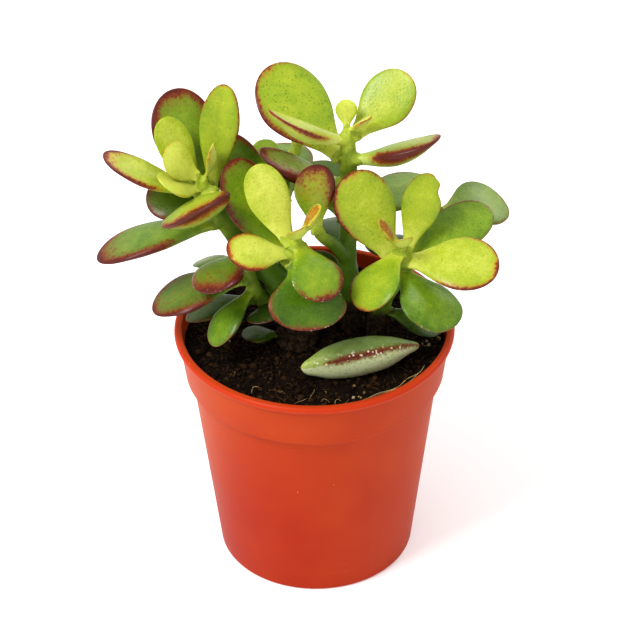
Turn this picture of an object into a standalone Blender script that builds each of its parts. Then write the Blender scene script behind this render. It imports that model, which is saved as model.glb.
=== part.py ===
import math

import bmesh
import bpy
from mathutils import Vector

# All measures in this table and the shoot tables below are millimetres and degrees.
MM = 0.001

POT_HEIGHT = 85.0
LIP_RADIUS = 45.0
LIP_HEIGHT = 2.4
COLLAR_TOP_RADIUS = 43.6
COLLAR_LOW_RADIUS = 41.7
COLLAR_HEIGHT = 17.0
SHOULDER_HEIGHT = 2.2
BODY_TOP_RADIUS = 39.8
BASE_RADIUS = 32.0
BASE_ROUNDING = 1.0
WALL = 1.2
FLOOR = 1.8
POT_STEPS = 48
DRAIN_HOLES = 5
DRAIN_RADIUS = 2.4
DRAIN_CIRCLE = 21.0
DRAIN_SIDES = 16
LIP_EASE = 0.5
LIP_UNDERCUT = 0.15
LIP_ARC_STEPS = 6
COLLAR_EASE = (0.15, 1.1), (-0.1, 0.3), (-0.8, -0.1)
BODY_EASE = 0.3
INNER_HEIGHTS = (0.0, 0.8, 1.6, 2.4, 10.0)

GAP = 0.3
SOIL_EDGE_HEIGHT = 79.3
SOIL_MOUND = 1.6
SOIL_ROUGHNESS = 1.1
SOIL_STEPS = 36
SOIL_RINGS = 9
SOIL_RIM = (1.4, 1.2)
SOIL_SIDE_HEIGHTS = (78.7, 71.0, 69.5, 68.0)
SOIL_FOOT = (2.0, 1.5)
LUMP_SIZE = 6.0
SOCKET_SIDES = 20
SOCKET_DEPTH = 20.0
STALK_GAP = 0.3

LEAF_SIDES = 10
LEAF_RINGS = 9
LEAF_BELLY = 0.60
PETIOLE_WIDTH = 0.27
UPPER_SHARE = 0.36
STEM_SIDES = 3

# Each shoot is a list of growth nodes: x, y, z and the stem's radius there.
# A leaf below names the node it grows from.
SHOOTS = {
    "main": [
        (-5.5, -2, 75.5, 7.0), (-5.5, -2, 84, 6.6), (-6, -1, 92, 5.2), (-13, 1, 103, 4.0),
        (-22, 3, 114, 3.6), (-27.5, 2.5, 123, 3.2), (-29.5, 2, 127, 3.0), (-31.8, 1.5, 132, 2.7),
        (-32.8, 1, 135.2, 2.4), (-33.8, 0.8, 138, 2.0), (-34.3, 0.5, 140.5, 1.5),
    ],
    "front": [
        (-6, -3, 90, 4.8), (-5, -7, 104, 3.8), (-5, -12.5, 118, 3.4), (-5.2, -14, 123, 3.0),
        (-5.4, -15, 126.6, 2.4), (-5.6, -15.5, 129, 1.6),
    ],
    "rear": [
        (-6, 0, 90, 4.6), (-9, 8, 108, 3.2), (-10, 13, 122, 2.9), (-9.4, 15.5, 131, 2.6),
        (-7, 17, 135, 2.2), (-5.2, 17.5, 137.5, 1.5),
    ],
    "low": [
        (-6, -2, 86, 4.6), (-13, -3, 93.5, 2.8), (-16.2, -3.5, 97, 2.7), (-18.6, -4, 101.4, 2.5),
        (-20, -4, 106, 2.3), (-20.8, -3.5, 110.4, 2.0), (-21.2, -3, 113, 1.4),
    ],
    "tall": [
        (12.2, 7.4, 75.5, 4.4), (12, 7, 90, 3.9), (10.5, 5, 106, 3.2), (11, 5, 121, 2.9),
        (11.2, 5, 136, 2.9), (11, 5, 145, 2.7), (10.8, 5, 152.6, 2.3), (10.6, 5, 154.8, 1.5),
    ],
    "twig": [
        (10.6, 5, 106, 2.4), (6.8, -2, 116.6, 2.1), (3.2, -7.4, 123.2, 1.9), (1.2, -8.8, 125.6, 1.4),
    ],
    "right": [
        (20.2, 1, 75.5, 4.0), (20.6, 0.4, 90, 3.5), (24, -4, 103, 3.0), (26.4, -8, 112, 2.6),
        (27, -8.2, 115.6, 2.3), (27.5, -8.2, 118.6, 1.9), (27.8, -8, 121, 1.3),
    ],
    "corner": [
        (23, -2, 98, 2.8), (30, 6, 104, 2.5), (37, 12, 110, 2.2), (39, 13.5, 113, 1.9), (40, 14, 115.5, 1.3),
    ],
}

# Stems that grow together make one piece; each list starts with the one rooted in the soil.
STEMS = {
    "stem_main": ["main", "front", "rear", "low"],
    "stem_tall": ["tall", "twig"],
    "stem_right": ["right", "corner"],
}

# name, shoot, node, heading, rise, roll, length, width, thickness, cup, bend
LEAVES = [
    ("leaf_left_bud_a", "main", 10, 196, 46, -42, 15, 13, 2.2, 0.30, -0.06),
    ("leaf_left_bud_b", "main", 10, 20, 74, -30, 11, 8, 2.0, 0.30, -0.06),
    ("leaf_left_young_back", "main", 9, 149, 58, -25, 20, 13, 2.6, 0.10, -0.05),
    ("leaf_left_young_front", "main", 9, 222, 31, -15, 17, 12, 2.6, 0.12, -0.04),
    ("leaf_left_upright", "main", 8, 66, 70, 20, 33, 13, 3.4, 0.16, -0.05),
    ("leaf_left_side", "main", 8, 180, 29, -8, 35.5, 14, 3.4, 0.10, -0.04),
    ("leaf_left_back", "main", 7, 121, 52, -10, 33.5, 21.5, 4.2, 0.08, -0.06),
    ("leaf_left_front", "main", 8, 256, 20, 36, 18, 24.5, 6.2, 0.08, -0.04),
    ("leaf_left_low_back", "main", 6, 165, 14, -38, 20, 17, 4.0, 0.06, 0.04),
    ("leaf_left_long", "main", 5, 192, -12, 0, 39, 19, 5.4, 0.06, 0.05),
    ("leaf_left_hidden", "main", 4, 100, -4, 0, 24, 16, 3.8, 0.05, 0.04),
    ("leaf_tall_bud_a", "tall", 7, 95, 82, 0, 11.5, 8, 2.0, 0.25, -0.05),
    ("leaf_tall_bud_b", "tall", 7, 330, 40, -10, 9, 7, 2.0, 0.25, -0.05),
    ("leaf_tall_upright", "tall", 6, 30, 46, 30, 24.5, 17.5, 3.6, 0.10, -0.05),
    ("leaf_tall_side", "tall", 6, 206, 35, 2, 28, 14, 5.6, 0.06, -0.05),
    ("leaf_tall_big", "tall", 5, 148, 37, -20, 36.5, 23, 4.8, 0.08, -0.05),
    ("leaf_tall_right", "tall", 5, 352, 21, -10, 27, 15, 6.4, 0.08, -0.05),
    ("leaf_tall_low_left", "tall", 4, 182, 27, 2, 27, 13.5, 5.2, 0.08, -0.05),
    ("leaf_tall_low_right", "tall", 3, 38, 9, 0, 30, 21, 4.0, 0.05, 0.04),
    ("leaf_tall_hidden", "tall", 3, 112, 12, 0, 26, 17, 3.8, 0.05, 0.04),
    ("leaf_tall_deep", "tall", 2, 98, -4, 0, 24, 17, 3.8, 0.05, 0.04),
    ("leaf_front_bud_a", "front", 5, 22, 50, -10, 13, 8, 2.4, 0.30, -0.05),
    ("leaf_front_bud_b", "front", 5, 280, 48, 20, 11, 8, 2.0, 0.30, -0.05),
    ("leaf_front_up", "front", 4, 149, 58, -25, 25.5, 16, 3.4, 0.08, -0.03),
    ("leaf_front_down", "front", 4, 298, -32, -14, 19, 19.5, 4.4, 0.05, 0.06),
    ("leaf_front_left", "front", 3, 197, 14, -25, 20, 14, 3.8, 0.08, -0.03),
    ("leaf_front_big_up", "front", 2, 143, 52, -15, 35, 19, 4.6, 0.06, -0.05),
    ("leaf_front_big_down", "front", 2, 280, -40, -15, 20, 27, 4.8, 0.05, 0.06),
    ("leaf_twig_up", "twig", 3, 97, 84, 5, 21.5, 14, 3.6, 0.10, -0.04),
    ("leaf_right_bud_a", "right", 6, 205, 52, -20, 14, 7, 1.9, 0.30, -0.05),
    ("leaf_right_bud_b", "right", 6, 268, 42, 10, 12, 7, 1.9, 0.30, -0.05),
    ("leaf_right_up", "right", 5, 45, 66, 35, 25, 13, 3.2, 0.08, -0.05),
    ("leaf_right_front_left", "right", 5, 234, -29, 14, 21.5, 18, 3.8, 0.08, 0.05),
    ("leaf_right_big_up", "right", 4, 158, 62, -40, 31, 20.5, 4.4, 0.08, -0.05),
    ("leaf_right_side", "right", 4, 345, 3, 25, 28.5, 21, 4.6, 0.06, 0.04),
    ("leaf_right_low", "right", 3, 305, -23, -10, 24, 24, 4.4, 0.04, 0.05),
    ("leaf_right_back", "right", 3, 32, 18, 20, 33, 18, 4.2, 0.05, 0.04),
    ("leaf_corner_low", "corner", 1, 115, -12, 0, 20, 15, 3.6, 0.05, 0.04),
    ("leaf_right_ground", "right", 1, 345, -18, 0, 17, 13, 3.4, 0.05, 0.04),
    ("leaf_corner_side", "corner", 4, 31, -8, 18, 23, 21, 3.8, 0.05, 0.04),
    ("leaf_corner_back", "corner", 3, 118, 4, 0, 24, 17, 3.6, 0.05, 0.04),
    ("leaf_rear_side", "rear", 3, 176, 12, -50, 24, 19, 4.6, 0.06, -0.04),
    ("leaf_rear_edge", "rear", 5, 80, 78, 12, 19, 13, 5.0, 0.10, -0.04),
    ("leaf_rear_left", "rear", 4, 136, 8, -30, 22, 11, 3.2, 0.08, -0.04),
    ("leaf_rear_back", "rear", 2, 88, 6, 0, 29, 20, 4.0, 0.05, 0.04),
    ("leaf_rear_low", "rear", 1, 118, -4, 0, 27, 18, 3.8, 0.05, 0.05),
    ("leaf_trunk_back", "main", 1, 72, 32, 0, 24, 17, 3.8, 0.05, 0.04),
    ("leaf_trunk_small", "main", 1, 196, 6, 10, 11, 11, 3.2, 0.06, 0.04),
    ("leaf_low_front", "low", 6, 234, -14, 24, 17.5, 21.5, 6.0, 0.08, 0.05),
    ("leaf_low_small", "low", 5, 148, -20, 0, 19, 9, 3.0, 0.05, 0.04),
    ("leaf_low_long", "low", 4, 187, -18, -4, 30, 18, 4.4, 0.06, 0.05),
    ("leaf_low_pale", "low", 3, 225, -37, 10, 20, 12, 3.2, 0.10, 0.04),
    ("leaf_low_under", "low", 2, 176, -20, 0, 23, 12, 3.4, 0.05, 0.04),
    ("leaf_low_dark", "low", 2, 275, 4, 12, 10, 13, 3.2, 0.06, 0.04),
]

FALLEN_LEAF = {
    "middle": (14.4, -18.6, 85.6), "heading": 16, "rise": 1, "roll": -43,
    "length": 39, "width": 14, "thickness": 9.6, "cup": 0.02, "bend": 0.04,
}

PLASTIC_COLOUR = (0.60, 0.10, 0.035, 1.0)
SOIL_COLOUR = (0.018, 0.012, 0.009, 1.0)
LEAF_COLOUR = (0.22, 0.42, 0.05, 1.0)
STEM_COLOUR = (0.16, 0.22, 0.05, 1.0)


def material(name, colour, roughness):
    made = bpy.data.materials.new(name)
    made.use_nodes = True
    shader = made.node_tree.nodes["Principled BSDF"]
    shader.inputs["Base Color"].default_value = colour
    shader.inputs["Roughness"].default_value = roughness
    made.diffuse_color = colour
    return made


def collection(name, helper=False):
    made = bpy.data.collections.new(name)
    bpy.context.scene.collection.children.link(made)
    made.hide_render = helper
    return made


def add_object(name, mesh, into, look=None, helper=False):
    made = bpy.data.objects.new(name, mesh)
    into.objects.link(made)
    if look:
        mesh.materials.append(look)
    if helper:
        made.hide_render = True
        made.display_type = "WIRE"
    return made


def smooth(mesh):
    for polygon in mesh.polygons:
        polygon.use_smooth = True


def boolean(target, cutter, operation):
    cut = target.modifiers.new(operation.title() + " " + cutter.name, "BOOLEAN")
    cut.operation = operation
    cut.solver = "EXACT"
    cut.object = cutter


# round pieces, turned from a profile that runs down its outer side
def turned(name, profile, steps, into, look, surface=()):
    mesh = bpy.data.meshes.new(name)
    points = [(radius * MM, 0, height * MM) for radius, height in profile]
    edges = [(i, i + 1) for i in range(len(points) - 1)]
    mesh.from_pydata(points, edges, [])
    made = add_object(name, mesh, into, look)
    if surface:
        group = made.vertex_groups.new(name="surface")
        group.add(list(surface), 1.0, "REPLACE")
    screw = made.modifiers.new("Turn", "SCREW")
    screw.steps = steps
    screw.render_steps = steps
    screw.use_merge_vertices = True
    screw.merge_threshold = 0.00001
    screw.use_smooth_shade = True
    return made


def arc(centre, radius, start, end, count):
    found = []
    for i in range(count + 1):
        angle = math.radians(start + (end - start) * i / count)
        found.append((centre[0] + radius * math.cos(angle), centre[1] + radius * math.sin(angle)))
    return found


def body_radius(height):
    top = POT_HEIGHT - COLLAR_HEIGHT
    return BASE_RADIUS + (BODY_TOP_RADIUS - BASE_RADIUS) * height / top


def inner_radius(height):
    shoulder = POT_HEIGHT - COLLAR_HEIGHT
    if height <= shoulder:
        return body_radius(height) - WALL
    lift = min(1.0, (height - shoulder) / SHOULDER_HEIGHT)
    eased = lift * lift * (3 - 2 * lift)
    flare = (COLLAR_TOP_RADIUS - COLLAR_LOW_RADIUS) * (height - shoulder) / COLLAR_HEIGHT
    outer = COLLAR_LOW_RADIUS + flare
    return body_radius(shoulder) + (outer - body_radius(shoulder)) * eased - WALL


def build_pot(into, helpers):
    shoulder = POT_HEIGHT - COLLAR_HEIGHT
    lip_round = LIP_HEIGHT / 2
    inside = [(inner_radius(shoulder + rise), shoulder + rise) for rise in INNER_HEIGHTS]
    inside.append((COLLAR_TOP_RADIUS - WALL, POT_HEIGHT - LIP_EASE))
    lip = arc((LIP_RADIUS - lip_round, POT_HEIGHT - lip_round), lip_round, 90, -90, LIP_ARC_STEPS)
    collar = [(COLLAR_TOP_RADIUS, POT_HEIGHT - LIP_HEIGHT - LIP_UNDERCUT)]
    collar += [(COLLAR_LOW_RADIUS + out, shoulder + up) for out, up in COLLAR_EASE]
    foot = arc((BASE_RADIUS - BASE_ROUNDING, BASE_ROUNDING), BASE_ROUNDING, 0, -90, 3)
    corner = FLOOR + BASE_ROUNDING
    profile = [(0, FLOOR), (inner_radius(FLOOR) - BASE_ROUNDING, FLOOR), (inner_radius(corner), corner)]
    profile += inside + [(COLLAR_TOP_RADIUS - WALL + LIP_EASE, POT_HEIGHT)]
    profile += lip + collar + [(BODY_TOP_RADIUS, shoulder - BODY_EASE)] + foot + [(0, 0)]
    pot = turned("pot", profile, POT_STEPS, into, material("terracotta_plastic", PLASTIC_COLOUR, 0.4))
    for number in range(DRAIN_HOLES):
        angle = math.tau * (number + 0.5) / DRAIN_HOLES
        mesh = bpy.data.meshes.new("drain_cutter")
        cutter_mesh = bmesh.new()
        bmesh.ops.create_cone(
            cutter_mesh, cap_ends=True, segments=DRAIN_SIDES,
            radius1=DRAIN_RADIUS * MM, radius2=DRAIN_RADIUS * MM, depth=3 * FLOOR * MM,
        )
        cutter_mesh.to_mesh(mesh)
        cutter_mesh.free()
        cutter = add_object("drain_cutter_" + str(number + 1), mesh, helpers, helper=True)
        cutter.location = Vector((math.cos(angle), math.sin(angle), 0)) * DRAIN_CIRCLE * MM
        cutter.location.z = FLOOR / 2 * MM
        boolean(pot, cutter, "DIFFERENCE")
    return pot


def build_soil(into, helpers):
    bottom = FLOOR + GAP
    foot_inset, foot_rise = SOIL_FOOT
    side = [(inner_radius(h) - GAP, h) for h in (*SOIL_SIDE_HEIGHTS, bottom + foot_rise)]
    edge = inner_radius(SOIL_EDGE_HEIGHT)
    top_inset, rim_inset = SOIL_RIM
    top = []
    for step in range(SOIL_RINGS):
        share = step / SOIL_RINGS
        rise = SOIL_MOUND * math.cos(share * math.pi / 2)
        top.append((share * (edge - top_inset), SOIL_EDGE_HEIGHT + rise))
    profile = top + [(edge - rim_inset, SOIL_EDGE_HEIGHT)] + side
    profile += [(inner_radius(bottom) - foot_inset, bottom), (0, bottom)]
    look = material("potting_soil", SOIL_COLOUR, 0.95)
    soil = turned("soil", profile, SOIL_STEPS, into, look, range(1, SOIL_RINGS))
    lumps = bpy.data.textures.new("lumps", "CLOUDS")
    lumps.noise_scale = LUMP_SIZE * MM
    uneven = soil.modifiers.new("Uneven", "DISPLACE")
    uneven.texture = lumps
    uneven.texture_coords = "LOCAL"
    uneven.direction = "Z"
    uneven.vertex_group = "surface"
    uneven.strength = 2 * SOIL_ROUGHNESS * MM
    for shoots in STEMS.values():
        x, y, z, radius = SHOOTS[shoots[0]][0]
        mesh = bpy.data.meshes.new("stem_socket")
        socket_mesh = bmesh.new()
        wide = (radius + 2 * GAP) * MM
        bmesh.ops.create_cone(
            socket_mesh, cap_ends=True, segments=SOCKET_SIDES,
            radius1=wide, radius2=wide, depth=SOCKET_DEPTH * MM,
        )
        socket_mesh.to_mesh(mesh)
        socket_mesh.free()
        socket = add_object("socket_" + shoots[0], mesh, helpers, helper=True)
        socket.location = Vector((x, y, z - GAP + SOCKET_DEPTH / 2)) * MM
        boolean(soil, socket, "DIFFERENCE")
    return soil


# a tapering stem through its growth nodes, as a closed mesh
def stem_mesh(name, nodes):
    curve = bpy.data.curves.new(name, "CURVE")
    curve.dimensions = "3D"
    curve.resolution_u = 2
    curve.bevel_depth = MM
    curve.bevel_resolution = STEM_SIDES
    curve.use_fill_caps = True
    spline = curve.splines.new("BEZIER")
    spline.bezier_points.add(len(nodes) - 1)
    for point, (x, y, z, radius) in zip(spline.bezier_points, nodes):
        point.co = Vector((x, y, z)) * MM
        point.radius = radius
        point.handle_left_type = "AUTO"
        point.handle_right_type = "AUTO"
    holder = bpy.data.objects.new(name, curve)
    bpy.context.scene.collection.objects.link(holder)
    bpy.context.view_layer.update()
    mesh = bpy.data.meshes.new_from_object(holder)
    bpy.data.objects.remove(holder)
    tidy = bmesh.new()
    tidy.from_mesh(mesh)
    bmesh.ops.remove_doubles(tidy, verts=tidy.verts, dist=0.00001)
    bmesh.ops.recalc_face_normals(tidy, faces=tidy.faces)
    tidy.to_mesh(mesh)
    tidy.free()
    mesh.materials.clear()
    return mesh


def build_stems(into, helpers):
    look = material("jade_stem", STEM_COLOUR, 0.6)
    for name, shoots in STEMS.items():
        mesh = stem_mesh(name, SHOOTS[shoots[0]])
        stem = add_object(name, mesh, into, look)
        for shoot in shoots[1:]:
            branch_mesh = stem_mesh("branch_" + shoot, SHOOTS[shoot])
            branch = add_object("branch_" + shoot, branch_mesh, helpers, helper=True)
            boolean(stem, branch, "UNION")
        smooth(mesh)


def outline(along):
    if along < LEAF_BELLY:
        return PETIOLE_WIDTH + (1 - PETIOLE_WIDTH) * math.sin(math.pi / 2 * along / LEAF_BELLY) ** 1.6
    return math.sqrt(max(0.0, 1 - ((along - LEAF_BELLY) / (1 - LEAF_BELLY)) ** 2.2))


def fullness(along):
    return (0.46 + 0.54 * math.sin(math.pi * min(1.0, along / 0.9))) * math.sqrt(max(0.0, 1 - along ** 5))


def leaf_frame(heading, rise, roll):
    heading, rise, roll = (math.radians(angle) for angle in (heading, rise, roll))
    level_share = math.cos(rise)
    forward = Vector((level_share * math.cos(heading), level_share * math.sin(heading), math.sin(rise)))
    level = Vector((-math.sin(heading), math.cos(heading), 0))
    upright = forward.cross(level)
    side = level * math.cos(roll) + upright * math.sin(roll)
    return forward, side, forward.cross(side)


def leaf(name, base, heading, rise, roll, length, width, thickness, cup, bend, into, look):
    forward, side, upper = leaf_frame(heading, rise, roll)
    shape = bmesh.new()
    bmesh.ops.create_uvsphere(shape, u_segments=LEAF_SIDES, v_segments=LEAF_RINGS, radius=1)
    for vertex in shape.verts:
        along = (1 - vertex.co.z) / 2
        around = math.atan2(vertex.co.y, vertex.co.x)
        ring = 0.0 if along < 0.0001 else 1.0
        across = ring * outline(along) * width / 2 * math.cos(around)
        share = UPPER_SHARE if math.sin(around) > 0 else 1 - UPPER_SHARE
        height = ring * fullness(along) * thickness * share * math.sin(around)
        height += cup * width / 2 * (2 * across / width) ** 2
        height += bend * length * 4 * along * (1 - along)
        vertex.co = (base + forward * along * length + side * across + upper * height) * MM
    bmesh.ops.reverse_faces(shape, faces=shape.faces)
    mesh = bpy.data.meshes.new(name)
    shape.to_mesh(mesh)
    shape.free()
    smooth(mesh)
    return add_object(name, mesh, into, look)


def build_leaves(into):
    look = material("jade_leaf", LEAF_COLOUR, 0.4)
    for name, shoot, node, heading, rise, roll, length, width, thickness, cup, bend in LEAVES:
        x, y, z, radius = SHOOTS[shoot][node]
        out = Vector((math.cos(math.radians(heading)), math.sin(math.radians(heading)), 0))
        at_tip = node == len(SHOOTS[shoot]) - 1
        if at_tip:
            base = Vector((x, y, z + GAP + thickness / 3)) + out * thickness * 0.6
        else:
            base = Vector((x, y, z)) + out * (radius + GAP + STALK_GAP)
        leaf(name, base, heading, rise, roll, length, width, thickness, cup, bend, into, look)
    dropped = FALLEN_LEAF
    forward = leaf_frame(dropped["heading"], dropped["rise"], 0)[0]
    base = Vector(dropped["middle"]) - forward * dropped["length"] / 2
    leaf(
        "fallen_leaf", base, dropped["heading"], dropped["rise"], dropped["roll"], dropped["length"],
        dropped["width"], dropped["thickness"], dropped["cup"], dropped["bend"], into, look,
    )


def clear_scene():
    for old in list(bpy.data.objects):
        bpy.data.objects.remove(old)


clear_scene()
plant_parts = collection("potted_jade_plant")
helper_parts = collection("cutters", helper=True)
build_pot(plant_parts, helper_parts)
build_soil(plant_parts, helper_parts)
build_stems(plant_parts, helper_parts)
build_leaves(plant_parts)
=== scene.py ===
import math
import random

import bmesh
import bpy
from mathutils import Matrix, Vector, noise
from mathutils.bvhtree import BVHTree


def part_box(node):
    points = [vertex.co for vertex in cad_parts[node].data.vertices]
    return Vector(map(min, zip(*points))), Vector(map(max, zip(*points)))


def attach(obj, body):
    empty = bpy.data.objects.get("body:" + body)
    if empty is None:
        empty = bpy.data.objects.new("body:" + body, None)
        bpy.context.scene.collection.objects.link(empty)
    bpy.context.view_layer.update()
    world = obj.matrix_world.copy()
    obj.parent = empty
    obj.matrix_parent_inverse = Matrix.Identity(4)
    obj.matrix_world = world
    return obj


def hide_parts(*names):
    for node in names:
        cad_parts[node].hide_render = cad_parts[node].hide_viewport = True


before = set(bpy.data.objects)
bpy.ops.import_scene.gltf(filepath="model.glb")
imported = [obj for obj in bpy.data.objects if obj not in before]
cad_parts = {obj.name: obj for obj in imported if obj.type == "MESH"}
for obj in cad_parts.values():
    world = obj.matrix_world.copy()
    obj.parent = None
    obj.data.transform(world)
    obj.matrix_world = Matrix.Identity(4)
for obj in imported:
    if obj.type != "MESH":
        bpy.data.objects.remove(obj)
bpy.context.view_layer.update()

mm = 0.001
body = "root"
lucky = random.Random(11)


# small helpers

def smoothStep(low, high, value):
    share = min(1.0, max(0.0, (value - low) / (high - low)))
    return share * share * (3 - 2 * share)


def spin(radius, degrees, height=0.0):
    turn = math.radians(degrees)
    return Vector((radius * math.cos(turn), radius * math.sin(turn), height))


def addObject(name, data):
    thing = bpy.data.objects.new(name, data)
    bpy.context.scene.collection.objects.link(thing)
    return thing


def addPiece(name, mesh, look, nodes=()):
    piece = addObject(name, mesh)
    mesh.materials.clear()
    mesh.materials.append(look)
    mesh.polygons.foreach_set("use_smooth", [True] * len(mesh.polygons))
    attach(piece, body)
    if nodes:
        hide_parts(*nodes)
    return piece


def setMarks(mesh, marks):
    # one number per point and mark, for the materials to read
    for mark, values in marks.items():
        mesh.attributes.new(mark, "FLOAT", "POINT").data.foreach_set("value", values)
    mesh.update()


def meshFrom(name, points, faces, marks):
    mesh = bpy.data.meshes.new(name)
    mesh.from_pydata(points, [], faces)
    setMarks(mesh, marks)
    return mesh


def closedFaces(rings, columns, first, start, end):
    # faces between rings of points, numbered on from first, and a fan to one point at each end
    faces = []
    last = first + (rings - 1) * columns
    for column in range(columns):
        after = (column + 1) % columns
        faces.append((start, first + column, first + after))
        for ring in range(first, last, columns):
            a, b = ring + column, ring + after
            faces.append((a, a + columns, b + columns, b))
        faces.append((last + after, last + column, end))
    return faces


def faceOut(mesh):
    # a closed mesh has its faces turned outwards
    shape = bmesh.new()
    shape.from_mesh(mesh)
    if shape.calc_volume(signed=True) < 0:
        bmesh.ops.reverse_faces(shape, faces=shape.faces)
    shape.to_mesh(mesh)
    shape.free()


def applied(holder):
    # the mesh that a helper object's modifiers give; the helper itself goes
    bpy.context.view_layer.update()
    mesh = bpy.data.meshes.new_from_object(holder.evaluated_get(bpy.context.evaluated_depsgraph_get()))
    bpy.data.objects.remove(holder)
    return mesh


# shader maths: a wrapped socket, so that sums read as sums

class Wire:
    def __init__(self, look, socket):
        self.look = look
        self.socket = socket

    def maths(self, operation, first, second, clamp=False):
        settings = {"operation": operation, "use_clamp": clamp}
        return self.look.add("ShaderNodeMath", settings, {0: first, 1: second})

    def __add__(self, other):
        return self.maths("ADD", self, other)

    def __radd__(self, other):
        return self.maths("ADD", other, self)

    def __sub__(self, other):
        return self.maths("SUBTRACT", self, other)

    def __rsub__(self, other):
        return self.maths("SUBTRACT", other, self)

    def __mul__(self, other):
        return self.maths("MULTIPLY", self, other)

    def __rmul__(self, other):
        return self.maths("MULTIPLY", other, self)

    def held(self):        # kept between 0 and 1
        return self.maths("ADD", self, 0.0, True)

    def rise(self, low, high):        # a smooth step from 0 at low to 1 at high
        return self.look.add(
            "ShaderNodeMapRange", {"interpolation_type": "SMOOTHSTEP"},
            {"Value": self, "From Min": low, "From Max": high},
        )


class Look:
    def __init__(self, name):
        self.material = bpy.data.materials.new(name)
        self.material.use_nodes = True
        self.tree = self.material.node_tree
        self.tree.nodes.clear()

    def add(self, kind, settings=None, values=None, output=0):
        node = self.tree.nodes.new(kind)
        for name, value in (settings or {}).items():
            if name == "stops":
                self.setStops(node.color_ramp, value)
            else:
                setattr(node, name, value)
        for name, value in (values or {}).items():
            if isinstance(value, Wire):
                self.tree.links.new(value.socket, node.inputs[name])
            else:
                node.inputs[name].default_value = value
        return Wire(self, node.outputs[output])

    def setStops(self, ramp, stops):
        while len(ramp.elements) < len(stops):
            ramp.elements.new(1.0)
        for element, (place, colour) in zip(ramp.elements, stops):
            element.position = place
            element.color = (*colour, 1.0)

    def place(self):
        return self.add("ShaderNodeTexCoord", None, None, "Object")

    def mark(self, name):
        return self.add("ShaderNodeAttribute", {"attribute_name": name}, None, "Fac")

    def cloud(self, scale, detail, place, rough=0.5):
        values = {"Vector": place, "Scale": scale, "Detail": detail, "Roughness": rough}
        return self.add("ShaderNodeTexNoise", None, values)

    def dots(self, scale, place):
        return self.add("ShaderNodeTexVoronoi", None, {"Vector": place, "Scale": scale}, "Distance")

    def ramp(self, share, stops):
        return self.add("ShaderNodeValToRGB", {"stops": stops}, {"Fac": share}, "Color")

    def blend(self, share, first, second, how="MIX"):
        first, second = [v if isinstance(v, Wire) else (*v, 1.0) for v in (first, second)]
        settings = {"data_type": "RGBA", "blend_type": how}
        return self.add("ShaderNodeMix", settings, {0: share, 6: first, 7: second}, 2)

    def bump(self, height, distance, strength, under=None):
        values = {"Height": height, "Distance": distance, "Strength": strength}
        if under:
            values["Normal"] = under
        return self.add("ShaderNodeBump", None, values, "Normal")

    def finishSoft(self, paint, values):        # a skin that light gets a little way into
        return self.finish({
            **values, "Specular IOR Level": paint["shine"], "Subsurface Weight": paint["glow"],
            "Subsurface Radius": paint["glowTint"], "Subsurface Scale": paint["glowDepth"],
        })

    def finish(self, values):
        shader = self.add("ShaderNodeBsdfPrincipled", None, values)
        output = self.tree.nodes.new("ShaderNodeOutputMaterial")
        self.tree.links.new(shader.socket, output.inputs["Surface"])
        return self.material


# camera, lights and floor

studio = {
    "aim": Vector((1.79, 0, 86.47)) * mm, "pitch": 35.96, "tilt": -0.52, "distance": 0.9, "lens": 158.1,
    "sensor": 36, "nearClip": 0.01, "look": "Medium High Contrast", "skyStrength": 0.72,
    "keyPlace": (-0.45, -0.35, 0.85), "keyEnergy": 6.0, "backPlace": (0.45, 0.5, 0.6), "backEnergy": 1.5,
    "lightSize": 0.36, "floorReach": 4.0, "floorColour": (0.90, 0.90, 0.90),
    "floorPatches": (0.93, 0.93, 0.93), "floorScale": 3.0, "floorGlow": 0.16,
}


def addLight(name, place, energy):
    light = bpy.data.lights.new(name, "AREA")
    light.energy = energy
    light.size = studio["lightSize"]
    holder = addObject(name, light)
    holder.location = place
    holder.rotation_euler = (studio["aim"] - holder.location).to_track_quat("-Z", "Y").to_euler()


def addCamera():
    lens = bpy.data.cameras.new("viewCamera")
    lens.lens = studio["lens"]
    lens.sensor_width = studio["sensor"]
    lens.clip_start = studio["nearClip"]
    camera = addObject("viewCamera", lens)
    pitch = math.radians(studio["pitch"])
    backwards = Vector((0, -math.cos(pitch), math.sin(pitch)))
    camera.location = studio["aim"] + backwards * studio["distance"]
    level = Matrix.Rotation(math.pi / 2 - pitch, 3, "X")
    camera.rotation_euler = (level @ Matrix.Rotation(math.radians(studio["tilt"]), 3, "Z")).to_euler()
    bpy.context.scene.camera = camera


def addFloor():
    reach = studio["floorReach"]
    corners = [(-reach, -reach, 0), (reach, -reach, 0), (reach, reach, 0), (-reach, reach, 0)]
    mesh = meshFrom("studioFloor", corners, [(0, 1, 2, 3)], {})
    look = Look("floorPaint")
    patches = look.cloud(studio["floorScale"], 3, look.place())
    colour = look.blend(patches, studio["floorColour"], studio["floorPatches"])
    mesh.materials.append(look.finish({
        "Base Color": colour, "Roughness": 0.8, "Specular IOR Level": 0.1, "Emission Color": colour,
        "Emission Strength": studio["floorGlow"],
    }))
    addObject("studioFloor", mesh)


def buildStudio():
    scene = bpy.context.scene
    scene.view_settings.view_transform = "Standard"
    scene.view_settings.look = studio["look"]
    scene.world = bpy.data.worlds.new("studioSky")
    scene.world.use_nodes = True
    sky = scene.world.node_tree.nodes["Background"]
    sky.inputs["Strength"].default_value = studio["skyStrength"]
    sky.inputs["Color"].default_value = (1, 1, 1, 1)
    addCamera()
    addLight("keyLight", studio["keyPlace"], studio["keyEnergy"])
    addLight("backLight", studio["backPlace"], studio["backEnergy"])
    addFloor()
    print("studio ready")


buildStudio()


# leaves

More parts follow.
